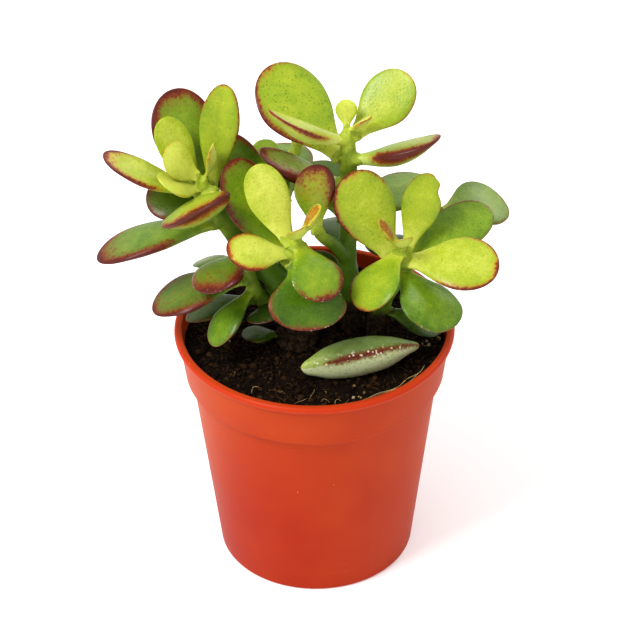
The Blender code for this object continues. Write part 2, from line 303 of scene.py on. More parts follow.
leafMake = {
    "greens": [
        (0.0, (0.034, 0.076, 0.005)), (0.25, (0.088, 0.178, 0.008)), (0.5, (0.205, 0.318, 0.015)),
        (0.75, (0.375, 0.448, 0.026)), (1.0, (0.600, 0.635, 0.110)),
    ],
    "olive": (0.170, 0.110, 0.014), "amber": (0.470, 0.230, 0.020), "crimson": (0.190, 0.021, 0.007),
    "scarlet": (0.360, 0.042, 0.010), "maroon": (0.090, 0.011, 0.006), "bloom": (0.560, 0.620, 0.350),
    "freckle": (0.060, 0.125, 0.006), "cork": (0.800, 0.720, 0.550), "shadow": (0.020, 0.034, 0.006),
    "wax": 0.34, "shine": 0.30, "coat": 0.12, "coatRough": 0.25,
    "glow": 0.22, "glowTint": (0.8, 1.0, 0.12), "glowDepth": 1.8 * mm,
    # how fine each pattern is: bigger numbers are finer
    "broadScale": 110, "middleScale": 420, "grainScale": 1500, "poreScale": 980, "porePatches": 300,
    "mottleScale": 640, "corkScale": 820, "corkPatches": 260,
    "skinRelief": 0.26 * mm, "poreDepth": 0.08 * mm,
    # the rebuilt shape
    "columns": 44, "stepsPerRing": 5, "trim": 0.975, "rimBulge": 0.012, "rimSharp": 0.22, "edgePower": 0.86,
    "wobble": 0.020, "ripple": 0.07 * mm, "rippleScale": 0.16, "upperShare": 0.36,
    "stalkInset": 1.3 * mm, "stalkNeck": 0.96, "stalkFlare": ((1.0, 1.12), (0.5, 1.05)),
    "weld": 0.002 * mm, "ringSine": 0.951, "ringCosine": 0.309,        # the CAD leaf's rings have ten sides
}


def leafSkin():
    look = Look("leafSkin")
    place = look.place()
    youth, blush, bloom = look.mark("youth"), look.mark("blush"), look.mark("bloom")
    shade, freckles, specks = look.mark("shade"), look.mark("freckles"), look.mark("specks")
    broad = look.cloud(leafMake["broadScale"], 3, place)
    middle = look.cloud(leafMake["middleScale"], 4, place, 0.6)
    grain = look.cloud(leafMake["grainScale"], 2, place, 0.6)
    ripe = youth + (broad - 0.5) * 0.36 + (middle - 0.5) * 0.28 + (grain - 0.5) * 0.30
    colour = look.ramp(ripe.held(), leafMake["greens"])
    # pale bloom and dust, thicker in patches
    powder = (bloom * (0.55 + middle) * (0.6 + broad * 0.8)).held()
    colour = look.blend(powder, colour, leafMake["bloom"])
    # fine pores, darker where a leaf is freckled
    porePatches = look.cloud(leafMake["porePatches"], 2, place).rise(0.36, 0.58)
    pores = look.dots(leafMake["poreScale"], place).rise(0.36, 0.12) * porePatches
    colour = look.blend((pores * freckles * 0.60).held(), colour, leafMake["freckle"])
    # sun blush: green turns olive or amber, then crimson, then maroon
    edge = blush.rise(0.02, 0.35)
    mottle = look.dots(leafMake["mottleScale"], place).rise(0.1, 0.6) - 0.5
    ragged = blush + ((middle - 0.5) * 0.34 + (grain - 0.5) * 0.66 - mottle * 0.16) * edge
    warm = look.blend(youth.rise(0.35, 0.8), leafMake["olive"], leafMake["amber"])
    colour = look.blend(ragged.rise(0.08, 0.55) * 0.85, colour, warm)
    red = look.blend(youth.rise(0.7, 1.0), leafMake["crimson"], leafMake["scarlet"])
    colour = look.blend(ragged.rise(0.34, 0.74) * 0.94, colour, red)
    colour = look.blend(ragged.rise(0.66, 1.0) * youth.rise(1.3, 0.5) * 0.9, colour, leafMake["maroon"])
    # pale corky specks along some edges
    corkPatches = look.cloud(leafMake["corkPatches"], 2, place).rise(0.38, 0.60)
    cork = look.dots(leafMake["corkScale"], place).rise(0.36, 0.12) * specks * corkPatches
    colour = look.blend(cork.held(), colour, leafMake["cork"])
    colour = look.blend((shade * 0.8).held(), colour, leafMake["shadow"], "MULTIPLY")
    rough = leafMake["wax"] + (middle - 0.5) * 0.18 + powder * 0.25 + cork * 0.2
    skin = look.bump(grain * 0.8 + middle, leafMake["skinRelief"], 0.42)
    skin = look.bump(pores * -1.0, leafMake["poreDepth"], 0.5, skin)
    return look.finishSoft(leafMake, {
        "Base Color": colour, "Roughness": rough.held(), "Normal": skin,
        "Coat Weight": leafMake["coat"], "Coat Roughness": leafMake["coatRough"],
    })


# Each row of leafTraits says how ripe a leaf is (youth), how red its rim is, how wide that red runs in mm,
# which way round the rim it faces (sun, in degrees from the tip, plus towards the leaf's left) and how far
# it spreads. The named values add a red tip, an all-over flush, a red inside, pale bloom (under: on its
# lower side), shade, freckles, corky specks, a fold along the middle and nicks in the rim (side, place,
# size, depth). Swing and lift turn a leaf about its stalk in degrees; reach, width and plump scale its
# length, width and thickness; a loose leaf has dropped.

def traits(youth, rim=0.6, wide=1.2, sun=0, spread=0.4, **more):
    found = dict(
        youth=youth, rim=rim, wide=wide, sun=sun, spread=spread, tip=0.0, flush=0.0, inside=0.0, bloom=0.0,
        under=0.10, shade=0.0, freckles=0.5, specks=0.0, fold=0.0, nicks=(), swing=0, lift=0, reach=1.0,
        width=1.0, plump=1.0, loose=False,
    )
    found.update(more)
    return found


leafTraits = {
    "leaf_left_bud_a": traits(0.92, 0.45, 0.7, 0, 1.0, freckles=0.1),
    "leaf_left_bud_b": traits(1.0, 0.45, 0.7, -40, 0.2, freckles=0.1, fold=0.15),
    "leaf_left_young_back": traits(0.76, 0.12, 0.6, 0, 1.0, freckles=0.25, reach=1.15),
    "leaf_left_young_front": traits(0.92, 0.30, 0.6, 60, 0.5, freckles=0.2),
    "leaf_left_upright": traits(0.64, 0.80, 0.9, -40, 0.15, fold=0.16, freckles=0.4),
    "leaf_left_side": traits(0.76, 1.0, 1.3, 25, 0.25, tip=0.40, freckles=0.3, reach=0.90, lift=-3),
    "leaf_left_back": traits(0.42, 1.0, 2.2, 20, 0.7, flush=0.20, freckles=0.8, swing=-3, reach=1.03),
    "leaf_left_front": traits(0.62, 1.2, 2.2, 25, 0.7, tip=0.10, flush=0.08, bloom=0.04, freckles=0.8,
                              lift=-8, reach=0.95, width=1.08, plump=1.15),
    "leaf_left_low_back": traits(0.24, 0.60, 1.5, 20, 0.8, flush=0.20, shade=0.35),
    "leaf_left_long": traits(0.34, 1.05, 1.5, 25, 0.35, tip=0.42, flush=0.12, bloom=0.06, freckles=0.8,
                             reach=0.98),
    "leaf_left_hidden": traits(0.25, 0.6, 1.2, 20, 0.6, shade=0.25),
    "leaf_tall_bud_a": traits(0.88, 0.12, 0.5, 0, 1.0, freckles=0.1, reach=0.74, lift=-4, width=0.9),
    "leaf_tall_bud_b": traits(0.95, 0.70, 0.6, 0, 1.0, freckles=0.1),
    "leaf_tall_upright": traits(0.67, 0.70, 0.7, -35, 0.3, freckles=0.4, lift=-7),
    "leaf_tall_side": traits(0.80, 0.95, 0.6, 45, 1.4, bloom=0.10, freckles=0.3),
    "leaf_tall_big": traits(0.61, 1.0, 1.6, 60, 0.45, flush=0.05, freckles=1.0, swing=-5, reach=0.965,
                            width=1.08),
    "leaf_tall_right": traits(0.50, 1.15, 1.5, -80, 0.9, flush=0.24, bloom=0.14),
    "leaf_tall_low_left": traits(0.38, 1.15, 1.7, 50, 0.5, flush=0.30, bloom=0.16),
    "leaf_tall_low_right": traits(0.34, 0.75, 1.2, 0, 0.9, flush=0.12, bloom=0.14, lift=-4),
    "leaf_tall_hidden": traits(0.24, 0.7, 1.3, 0, 0.7, shade=0.15),
    "leaf_tall_deep": traits(0.18, 0.5, 1.2, 0, 0.7, shade=0.35),
    "leaf_front_bud_a": traits(0.92, 0.45, 0.7, 0, 1.0, inside=0.55, freckles=0.1, reach=0.86),
    "leaf_front_bud_b": traits(0.90, 0.45, 0.7, 0, 1.0, inside=0.5, freckles=0.1, reach=0.9),
    "leaf_front_up": traits(0.90, 0.22, 0.6, 40, 0.5, swing=-13, width=0.92),
    "leaf_front_down": traits(0.46, 1.15, 1.9, 30, 0.35, specks=0.6),
    "leaf_front_left": traits(0.88, 1.1, 1.4, 10, 0.8, freckles=0.4, reach=0.97),
    "leaf_front_big_up": traits(0.42, 0.85, 1.7, 15, 0.6, flush=0.14, freckles=0.8),
    "leaf_front_big_down": traits(0.17, 1.0, 1.3, -20, 0.9, specks=0.9, freckles=0.6),
    "leaf_twig_up": traits(0.54, 1.1, 2.0, -50, 0.25, flush=0.30, freckles=0.7),
    "leaf_right_bud_a": traits(0.94, 0.50, 0.7, 0, 1.0, inside=0.6, freckles=0.1, reach=0.9),
    "leaf_right_bud_b": traits(0.92, 0.40, 0.7, 0, 1.0, inside=0.5, freckles=0.1, reach=0.9),
    "leaf_right_up": traits(0.68, 0.60, 0.6, -5, 0.1, freckles=0.3,
                            nicks=((-1, 0.80, 0.10, 0.30), (-1, 0.97, 0.04, 0.30))),
    "leaf_right_front_left": traits(0.56, 0.95, 1.0, -40, 0.4, freckles=0.4),
    "leaf_right_big_up": traits(0.70, 1.0, 1.3, 35, 0.4, freckles=0.6, swing=-3),
    "leaf_right_side": traits(0.76, 1.1, 1.3, -15, 0.35),
    "leaf_right_low": traits(0.33, 0.60, 0.7, 30, 0.6, freckles=1.0, specks=0.3, plump=1.1,
                             nicks=((1, 0.62, 0.12, 0.05), (-1, 0.80, 0.08, 0.04))),
    "leaf_right_back": traits(0.42, 0.85, 0.8, 45, 0.5, freckles=0.7),
    "leaf_corner_low": traits(0.24, 0.5, 1.0, 0, 0.7, shade=0.35),
    "leaf_right_ground": traits(0.22, 0.3, 1.0, 0, 0.7, shade=0.60),
    "leaf_corner_side": traits(0.40, 0.55, 1.0, 0, 0.9, flush=0.08, bloom=0.12),
    "leaf_corner_back": traits(0.26, 0.7, 1.2, 0, 0.7, bloom=0.15),
    "leaf_rear_side": traits(0.30, 1.2, 2.0, -45, 0.5, freckles=0.4, lift=9),
    "leaf_rear_edge": traits(0.62, 0.2, 0.8, 0, 0.7, freckles=0.2),
    "leaf_rear_left": traits(0.55, 0.3, 0.8, 0, 0.7, freckles=0.3, reach=0.62, lift=-8, width=0.8),
    "leaf_rear_back": traits(0.28, 0.9, 1.4, 10, 0.7, bloom=0.08),
    "leaf_rear_low": traits(0.22, 0.8, 1.4, 0, 0.7, shade=0.1),
    "leaf_trunk_back": traits(0.20, 0.6, 1.2, 0, 0.7, shade=0.2),
    "leaf_trunk_small": traits(0.20, 0.55, 1.0, 0, 0.8, shade=0.45),
    "leaf_low_front": traits(0.27, 1.2, 2.0, 30, 0.5, flush=0.28, freckles=1.0, specks=0.4),
    "leaf_low_small": traits(0.46, 0.3, 0.8, 0, 0.7),
    "leaf_low_long": traits(0.24, 1.05, 1.5, 25, 0.35, flush=0.26, bloom=0.05, freckles=0.6),
    "leaf_low_pale": traits(0.30, 0.65, 0.8, 0, 0.3, under=0.4, freckles=0.3),
    "leaf_low_under": traits(0.24, 0.5, 1.0, 0, 0.7, flush=0.12, shade=0.40),
    "leaf_low_dark": traits(0.18, 0.75, 0.9, 0, 1.0, specks=0.5, shade=0.80),
    "fallen_leaf": traits(0.36, 1.0, 0.60, -90, 0.9, bloom=0.24, under=0.8, specks=1.8, freckles=0.8,
                          plump=1.26, loose=True),
}


def weldedShape(nodeName):
    shape = bmesh.new()
    shape.from_mesh(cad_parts[nodeName].data)
    bmesh.ops.remove_doubles(shape, verts=shape.verts, dist=leafMake["weld"])
    return shape


def farthest(points):
    return max(((a - b).length, i, j) for i, a in enumerate(points) for j, b in enumerate(points) if i < j)


def readRings(nodeName):
    # the CAD leaf's rings, from its stalk to its tip; each end is a single point where ten edges meet
    shape = weldedShape(nodeName)
    start = max(shape.verts, key=lambda vertex: len(vertex.link_edges))
    seen, ring, rings = {start}, [start], []
    while ring:
        rings.append([vertex.co.copy() for vertex in ring])
        found = []
        for vertex in ring:
            for edge in vertex.link_edges:
                other = edge.other_vert(vertex)
                if other not in seen:
                    seen.add(other)
                    found.append(other)
        ring = found
    shape.free()
    if farthest(rings[1])[0] > farthest(rings[-2])[0]:
        rings.reverse()
    return rings


def marginPair(points, across):
    order = sorted(range(len(points)), key=lambda k: points[k].dot(across))
    return order[-1], order[0]


def readSection(ring, left, right, forward):
    # one ring's middle, half width, thickness, hollow, and its side and up axes
    middle = (ring[left] + ring[right]) / 2
    side = (ring[left] - ring[right]).normalized()
    side = (side - forward * side.dot(forward)).normalized()
    up = forward.cross(side)
    heights = sorted((point - middle).dot(up) for k, point in enumerate(ring) if k not in (left, right))
    if sum(heights) > 0:
        side, up, heights = -side, -up, sorted(-height for height in heights)
    low, high = sum(heights[:2]) / 2, sum(heights[-2:]) / 2
    thick = (high - low) / leafMake["ringSine"]
    hollow = leafMake["upperShare"] * leafMake["ringSine"] * thick - high
    hollow /= 1 - leafMake["ringCosine"] ** 2
    half = (ring[left] - ring[right]).length / 2
    return {"middle": middle, "half": half, "thick": thick, "hollow": hollow, "side": side, "up": up}


def readLeaf(nodeName):
    rings = readRings(nodeName)
    inner = rings[1:-1]
    widest = max(inner, key=lambda ring: farthest(ring)[0])
    _, left, right = farthest(widest)
    margins = [marginPair(ring, widest[left] - widest[right]) for ring in inner]
    middles = [(ring[i] + ring[j]) / 2 for ring, (i, j) in zip(inner, margins)]
    line = [rings[0][0]] + middles + [rings[-1][0]]
    rows = []
    for index, (ring, (i, j)) in enumerate(zip(inner, margins)):
        forward = (line[index + 2] - line[index]).normalized()
        rows.append(readSection(ring, i, j, forward))
    closed = {"half": 0.0, "thick": 0.0, "hollow": 0.0}
    return [dict(rows[0], middle=line[0], **closed)] + rows + [dict(rows[-1], middle=line[-1], **closed)]


def through(values, place, ends):
    # a smooth curve through the rings' values, which are mirrored past each end, with their sign turned
    # when ends is -1
    count = len(values)

    def at(index):
        if index < 0:
            return values[-index] * ends
        if index >= count:
            return values[2 * count - 2 - index] * ends
        return values[index]

    first = min(count - 2, max(0, int(place)))
    t = place - first
    a, b, c, d = (at(first + k) for k in (-1, 0, 1, 2))
    bowed, twisted = a * 2 - b * 5 + c * 4 - d, b * 3 - a - c * 3 + d
    return (b * 2 + (c - a) * t + bowed * t ** 2 + twisted * t ** 3) * 0.5


def stemTrees():
    trees = {}
    for name in ("stem_main", "stem_tall", "stem_right"):
        shape = weldedShape(name)
        trees[name] = BVHTree.FromBMesh(shape)
        shape.free()
    return trees


def nearestStem(point):
    found = []
    for name, tree in stems.items():
        spot, normal, _, reach = tree.find_nearest(point)
        found.append((reach, name, spot, normal))
    return min(found, key=lambda row: row[0])


def poseLeaf(sections, hinge, ways):
    # a small turn, lift or change of size about the leaf's stalk
    level = sections[-1]["middle"] - hinge
    level = Vector((level.y, -level.x, 0)).normalized()
    turn = Matrix.Rotation(math.radians(ways["swing"]), 3, "Z")
    turn = turn @ Matrix.Rotation(math.radians(ways["lift"]), 3, level)
    for row in sections:
        row["middle"] = hinge + turn @ (row["middle"] - hinge) * ways["reach"]
        row["side"], row["up"] = turn @ row["side"], turn @ row["up"]
        row["half"] *= 1 + (ways["width"] - 1) * smoothStep(0.1, 0.4, row["along"])
        row["thick"] *= ways["plump"]


def pointEnds(sections):
    # a dropped leaf has shrunk to a point at both ends
    for row in sections:
        slim = smoothStep(-0.24, 0.22, row["along"])
        row["half"] *= slim
        row["thick"] *= slim * (1 + 0.22 * smoothStep(0.5, 0.85, row["along"]))
        row["hollow"] *= slim


def seatStalk(sections, start):
    # the stalk keeps its width past the CAD leaf's end, and flares on its way into the stem
    steps = leafMake["stepsPerRing"]
    stalk = sections[steps]
    for row in sections[:steps]:
        share = row["along"] / stalk["along"]
        for key in ("half", "thick"):
            row[key] = stalk[key] * (leafMake["stalkNeck"] + (1 - leafMake["stalkNeck"]) * share)
        row["hollow"] = stalk["hollow"] * share
    _, _, spot, normal = nearestStem(start)
    root = spot - normal * leafMake["stalkInset"]
    inside = []
    for share, grow in leafMake["stalkFlare"]:
        row = dict(sections[0], middle=start.lerp(root, share), hollow=0.0)
        row["half"] *= grow
        row["thick"] *= grow
        inside.append(row)
    return inside + sections


def leafSections(name):
    # the leaf's cross sections, several for each ring of the CAD leaf
    ways, rows = leafTraits[name], leafRows[name]
    last = len(rows) - 1
    sections = []
    for step in range(1, last * leafMake["stepsPerRing"]):
        place = step / leafMake["stepsPerRing"]
        row = {key: through([r[key] for r in rows], place, -1) for key in ("half", "thick", "hollow")}
        row["middle"] = through([r["middle"] for r in rows], place, 1)
        row["side"] = through([r["side"] for r in rows], place, 1).normalized()
        row["up"] = through([r["up"] for r in rows], place, 1).normalized()
        row["along"] = (1 - math.cos(place * math.pi / last)) / 2
        sections.append(row)
    start = rows[0]["middle"]
    poseLeaf(sections, start, ways)
    if ways["loose"]:
        pointEnds(sections)
        return sections
    return seatStalk(sections, start)


def skinMarks(leaf, along, half, across, top, drop):
    # what the leaf's skin is like at a point; drop is the point's height above or below the rim
    ways, length = leaf["ways"], leaf["length"]
    depth = math.hypot(half * (1 - abs(across)), drop * 0.55)
    depth = max(0.0, min(depth, (1 - along) * length * 0.8)) / mm
    turn = math.atan2(across * half, (along - 0.42) * length)
    facing = (math.cos(turn - math.radians(ways["sun"])) + ways["spread"]) / (1 + ways["spread"])
    facing = max(0.0, facing) ** 0.8
    if not top:
        depth *= 0.75
    rim = ways["rim"] * facing * math.exp(-(depth / ways["wide"]) ** 1.3) * smoothStep(0.05, 0.28, along)
    flush = ways["tip"] * smoothStep(0.62, 1.0, along) + ways["flush"] * smoothStep(0.1, 0.6, along)
    inside = ways["inside"] * smoothStep(0.15, 0.4, along) * smoothStep(0.25, 0.9, depth) if top else 0.0
    stalk = 0.26 * math.exp(-(along / 0.16) ** 2) * (1 - ways["shade"])
    # paler down the middle and greener towards the rim: partly the leaf's own tint, partly a painted
    # highlight along its middle
    middleTintAndHighlight = 0.06 - 0.16 * abs(across) ** 2.4 * smoothStep(0.15, 0.5, along)
    return {
        "youth": ways["youth"] * (1.0 if top else 0.94) + stalk + middleTintAndHighlight,
        "blush": max(rim + flush * (1.0 if top else 0.6), inside),
        "bloom": ways["bloom"] + (0.0 if top else ways["under"]),
        "shade": ways["shade"],
        "freckles": ways["freckles"],
        "specks": ways["specks"] * math.exp(-(depth / 0.9) ** 2),
    }


def skinPoint(leaf, row, turn):
    # a point of the leaf's skin at a turn round one cross section, and its marks
    ways, along, half, seed = leaf["ways"], row["along"], row["half"], leaf["seed"]
    across, lift = math.cos(turn), math.sin(turn)
    top = lift >= 0
    bend = noise.noise(Vector((seed, across * 0.8, along * 3.1)))
    grow = leafMake["trim"] + leafMake["wobble"] * bend * 2 * smoothStep(0.1, 0.4, along)
    grow += leafMake["rimBulge"] * math.exp(-(lift / leafMake["rimSharp"]) ** 2)
    for edge, spot, size, deep in ways["nicks"]:
        if edge * across > 0:
            grow -= deep * math.exp(-((along - spot) / size) ** 2) * smoothStep(0.2, 0.9, abs(across))
    face = row["thick"] * (leafMake["upperShare"] if top else 1 - leafMake["upperShare"])
    height = face * abs(lift) ** leafMake["edgePower"] if top else -face * abs(lift)
    height -= row["hollow"] * (1 - across ** 2)
    height += ways["fold"] * half * (abs(across) - 0.5)
    scale = leafMake["rippleScale"] / mm
    spot = Vector((seed + 40, across * half * scale, along * leaf["length"] * scale + (9 if top else 0)))
    height += noise.noise(spot) * leafMake["ripple"] * 2
    point = row["middle"] + row["side"] * across * half * grow + row["up"] * height
    return point, skinMarks(leaf, along, half, across, top, face * abs(lift))


def growLeaf(name, look):
    rows, ways = leafRows[name], leafTraits[name]
    length = sum((a["middle"] - b["middle"]).length for a, b in zip(rows, rows[1:]))
    leaf = {"ways": ways, "length": length, "seed": leafOrder[name] * 7.31}
    sections = leafSections(name)
    columns = leafMake["columns"]
    turns = [math.tau * column / columns for column in range(columns)]
    found = [skinPoint(leaf, row, turn) for row in sections for turn in turns]
    root = rows[0]["middle"] if ways["loose"] else sections[0]["middle"]
    tip = sections[-1]["middle"] + (sections[-1]["middle"] - sections[-2]["middle"]) * 0.3
    found.append((root, skinMarks(leaf, 0.0, sections[0]["half"], 0.0, True, 0.0)))
    found.append((tip, skinMarks(leaf, 1.0, 0.0, 0.0, True, 0.0)))
    points = [point for point, _ in found]
    marks = {key: [skin[key] for _, skin in found] for key in found[0][1]}
    faces = closedFaces(len(sections), columns, 0, len(points) - 2, len(points) - 1)
    mesh = meshFrom(name + "_skin", points, faces, marks)
    faceOut(mesh)
    return addPiece(name + "_skin", mesh, look, [name])


stems = stemTrees()
leafRows = {name: readLeaf(name) for name in leafTraits}
leafOrder = {name: number for number, name in enumerate(leafTraits)}
leafLook = leafSkin()
leafPieces = [growLeaf(name, leafLook) for name in leafTraits]
print("leaves grown:", len(leafPieces))


# stems

stemMake = {
    "voxel": 0.42 * mm, "smooth": 9, "stubReach": 3.6 * mm, "stubGrow": 1.14, "stubSink": 0.14,
    "stubOverlap": 0.4 * mm, "tubeSides": 14, "freshReach": 7.5 * mm, "barkTop": 98 * mm, "barkFoot": 84 * mm,
    "barkRough": 0.30 * mm, "skinRough": 0.05 * mm, "scarEvery": 5.6 * mm, "scarHigh": 0.11 * mm,
    "scarDrift": 1.5 * mm, "scarClear": (2.5 * mm, 5 * mm),
    "fresh": (0.370, 0.450, 0.045), "green": (0.095, 0.180, 0.012), "olive": (0.080, 0.095, 0.014),
    "bark": (0.020, 0.011, 0.005), "barkPale": (0.085, 0.055, 0.028), "rough": 0.46, "shine": 0.22,
    "glow": 0.12, "glowTint": (0.7, 1.0, 0.2), "glowDepth": 1.5 * mm,
    "broadScale": 160, "middleScale": 700, "grainScale": 2200, "spotScale": 520, "relief": 0.35 * mm,
}


def stemSkin():
    look = Look("stemSkin")
    place = look.place()
    bark, fresh = look.mark("bark"), look.mark("fresh")
    broad = look.cloud(stemMake["broadScale"], 3, place)
    middle = look.cloud(stemMake["middleScale"], 4, place, 0.6)
    grain = look.cloud(stemMake["grainScale"], 3, place)
    colour = look.blend((fresh + (broad - 0.5) * 0.5).rise(0.1, 0.9), stemMake["green"], stemMake["fresh"])
    colour = look.blend((middle.rise(0.5, 0.75) * 0.45).held(), colour, stemMake["olive"])
    woody = look.blend(middle.rise(0.38, 0.68), stemMake["bark"], stemMake["barkPale"])
    worn = (bark + (middle - 0.5) * 0.7 * bark.rise(0.0, 0.3)).rise(0.3, 0.65)
    colour = look.blend(worn, colour, woody)
    spots = look.dots(stemMake["spotScale"], place).rise(0.22, 0.08) * 0.4
    colour = look.blend(spots, colour, stemMake["barkPale"])
    rough = stemMake["rough"] + worn * 0.35 + (grain - 0.5) * 0.15
    skin = look.bump(middle * 0.7 + grain * 0.4, stemMake["relief"], 0.5)
    return look.finishSoft(stemMake, {"Base Color": colour, "Roughness": rough.held(), "Normal": skin})


def addTube(shape, start, end, startAxes, endAxes):
    # a closed tube between two ellipses, each given by its two half axes
    sides = stemMake["tubeSides"]
    turns = [math.tau * k / sides for k in range(sides)]
    rings = []
    for centre, (wide, thick) in ((start, startAxes), (end, endAxes)):
        spots = [centre + wide * math.cos(turn) + thick * math.sin(turn) for turn in turns]
        rings.append([shape.verts.new(spot) for spot in spots])
    for k in range(sides):
        follow = (k + 1) % sides
        shape.faces.new((rings[0][k], rings[0][follow], rings[1][follow], rings[1][k]))
    shape.faces.new(list(reversed(rings[0])))
    shape.faces.new(rings[1])


def stalkSockets():
    # which leaves grow on each stem, and the point inside the stem that each stalk starts from
    found = {}
    for name, ways in leafTraits.items():
        if not ways["loose"]:
            _, stem, spot, normal = nearestStem(leafRows[name][0]["middle"])
            found.setdefault(stem, []).append((name, spot - normal * leafMake["stalkInset"]))
    return found


def addStub(shape, rows, inside):
    # the stem's own flesh follows each stalk a little way up under its leaf
    start, first = rows[0]["middle"], rows[1]
    forward = (rows[2]["middle"] - start).normalized()
    sink = first["up"] * first["thick"] * stemMake["stubSink"]
    wide, thick = first["side"] * first["half"], first["up"] * first["thick"] / 2
    grow = stemMake["stubGrow"]
    seat = (wide * grow, thick * grow * 1.1)
    addTube(shape, inside, start - sink, (wide * grow * 1.25, thick * grow * 1.5), seat)
    behind = start - forward * stemMake["stubOverlap"] - sink
    addTube(shape, behind, start + forward * stemMake["stubReach"] - sink, seat, (wide * 0.95, thick * 0.86))


def fused(name, shape):
    # the shape's overlapping parts as one smooth skin
    mesh = bpy.data.meshes.new(name + "_rough")
    shape.to_mesh(mesh)
    shape.free()
    holder = addObject(name + "_rough", mesh)
    remesh = holder.modifiers.new("Fuse", "REMESH")
    remesh.mode = "VOXEL"
    remesh.voxel_size = stemMake["voxel"]
    soften = holder.modifiers.new("Soften", "SMOOTH")
    soften.factor = 0.5
    soften.iterations = stemMake["smooth"]
    return applied(holder)


def stemRelief(spot, wood, reach):
    # lumps and bark ridges, and rings of leaf scars that fade out near a stalk
    tall = noise.noise(spot / mm * 0.45) * (stemMake["skinRough"] + wood * stemMake["barkRough"])
    grain = Vector((spot.x / mm * 1.1, spot.y / mm * 1.1, spot.z / mm * 0.22))
    tall += noise.noise(grain) * wood * stemMake["barkRough"]
    beat = (spot.z + noise.noise(spot / mm * 0.2) * stemMake["scarDrift"]) / stemMake["scarEvery"]
    scar = math.exp(-(((beat % 1) - 0.5) / 0.10) ** 2) * stemMake["scarHigh"]
    return tall + scar * smoothStep(*stemMake["scarClear"], reach)


def growStem(name, sockets, look):
    shape = weldedShape(name)
    for leafName, inside in sockets:
        addStub(shape, leafRows[leafName], inside)
    bmesh.ops.recalc_face_normals(shape, faces=shape.faces)
    mesh = fused(name, shape)
    stalks = [(leafRows[leafName][0]["middle"], leafTraits[leafName]["youth"]) for leafName, _ in sockets]
    marks = {"bark": [], "fresh": []}
    normals = [vertex.normal.copy() for vertex in mesh.vertices]
    for vertex, normal in zip(mesh.vertices, normals):
        spot = vertex.co.copy()
        reach, youth = min(((stalk - spot).length, youth) for stalk, youth in stalks)
        wood = 1 - smoothStep(stemMake["barkFoot"], stemMake["barkTop"], spot.z)
        vertex.co = spot + normal * stemRelief(spot, wood, reach)
        marks["bark"].append(wood)
        marks["fresh"].append(math.exp(-(reach / stemMake["freshReach"]) ** 2) * youth * 1.2 + 0.10)
    setMarks(mesh, marks)
    return addPiece(name + "_skin", mesh, look, [name])


stemLook = stemSkin()
stemPieces = [growStem(name, sockets, stemLook) for name, sockets in stalkSockets().items()]
print("stems grown:", len(stemPieces))


# pot; its sizes are in mm

potMake = {
    "steps": 168, "lip": 2.4, "collarTop": 43.6, "collarLow": 41.82, "collar": 17.0, "collarEase": 0.35,
    "stepAbove": 1.3, "stepDrop": 0.4, "stepHigh": 1.25, "stepPoints": 14, "bodyTop": 39.8, "base": 32.0,
    "foot": 1.0,
    "underside": ((29.4, 0.0), (28.8, 0.35), (27.0, 0.45), (14.0, 0.45), (6.0, 0.35), (0.0, 0.35)),
    "wall": 1.2, "floor": 1.8, "innerFoot": 1.2, "innerStep": 2.3, "rimEase": 0.7,
    "drains": 5, "drainRadius": 2.4, "drainCircle": 21.0, "drainSides": 40, "drillLength": 8.0,
    "warp": 0.001, "warpFrom": 20,        # the warp grows in from this height, and from this radius
    "red": (0.370, 0.022, 0.005), "orange": (0.500, 0.068, 0.010), "lipColour": (0.500, 0.046, 0.009),
    "scuff": (0.620, 0.220, 0.100), "dust": (0.760, 0.420, 0.240), "rough": 0.46, "shine": 0.13,
    "glow": 0.06, "glowTint": (1.0, 0.25, 0.1), "glowDepth": 2 * mm,
    "broadScale": 22, "middleScale": 90, "grainScale": 2600, "streaks": (60, 60, 900), "dustScale": 150,
    "dustPatches": 40, "relief": 0.12 * mm, "streakDepth": 0.10 * mm,
}


def potSkin():
    look = Look("pottedPlastic")
    place = look.place()
    height, rimmed = look.mark("height"), look.mark("rim")
    broad = look.cloud(potMake["broadScale"], 2, place)
    middle = look.cloud(potMake["middleScale"], 4, place, 0.6)
    stretched = look.add("ShaderNodeMapping", None, {"Vector": place, "Scale": potMake["streaks"]})
    streaks = look.cloud(1.0, 5, stretched, 0.6)
    grain = look.cloud(potMake["grainScale"], 2, place)
    # redder below, oranger and lighter towards the top: the height part is painted light on the pot's upper
    # part, the broad and middle patches are the plastic's own random tone
    share = broad.rise(0.30, 0.68) * 0.40 + height.rise(0.10, 0.85) * 0.50 + (middle - 0.5) * 0.20
    colour = look.blend(share.held(), potMake["red"], potMake["orange"])
    colour = look.blend(rimmed, colour, potMake["lipColour"])
    scuffs = (streaks.rise(0.60, 0.78) * middle.rise(0.48, 0.68) * 0.30).held()
    colour = look.blend(scuffs, colour, potMake["scuff"])
    dustPatches = look.cloud(potMake["dustPatches"], 2, place).rise(0.5, 0.62)
    dust = look.dots(potMake["dustScale"], place).rise(0.045, 0.02) * dustPatches
    colour = look.blend(dust * 0.8, colour, potMake["dust"])
    rough = potMake["rough"] + (middle - 0.5) * 0.20 + scuffs * 0.4 + dust * 0.3 - rimmed * 0.08
    skin = look.bump(grain * 0.35 + middle * 0.5, potMake["relief"], 0.35)
    skin = look.bump(streaks, potMake["streakDepth"], 0.18, skin)
    return look.finishSoft(potMake, {"Base Color": colour, "Roughness": rough.held(), "Normal": skin})


def arcPoints(centre, radius, start, end, count):
    turned = [math.radians(start + (end - start) * k / count) for k in range(count + 1)]
    return [(centre[0] + radius * math.cos(a), centre[1] + radius * math.sin(a)) for a in turned]


def easedWall(start, end, count):
    return [(start[0] + (end[0] - start[0]) * smoothStep(0, 1, k / count),
             start[1] + (end[1] - start[1]) * k / count) for k in range(count + 1)]


def straightWall(start, end, count):
    return [(start[0] + (end[0] - start[0]) * k / count, start[1] + (end[1] - start[1]) * k / count)
            for k in range(1, count)]


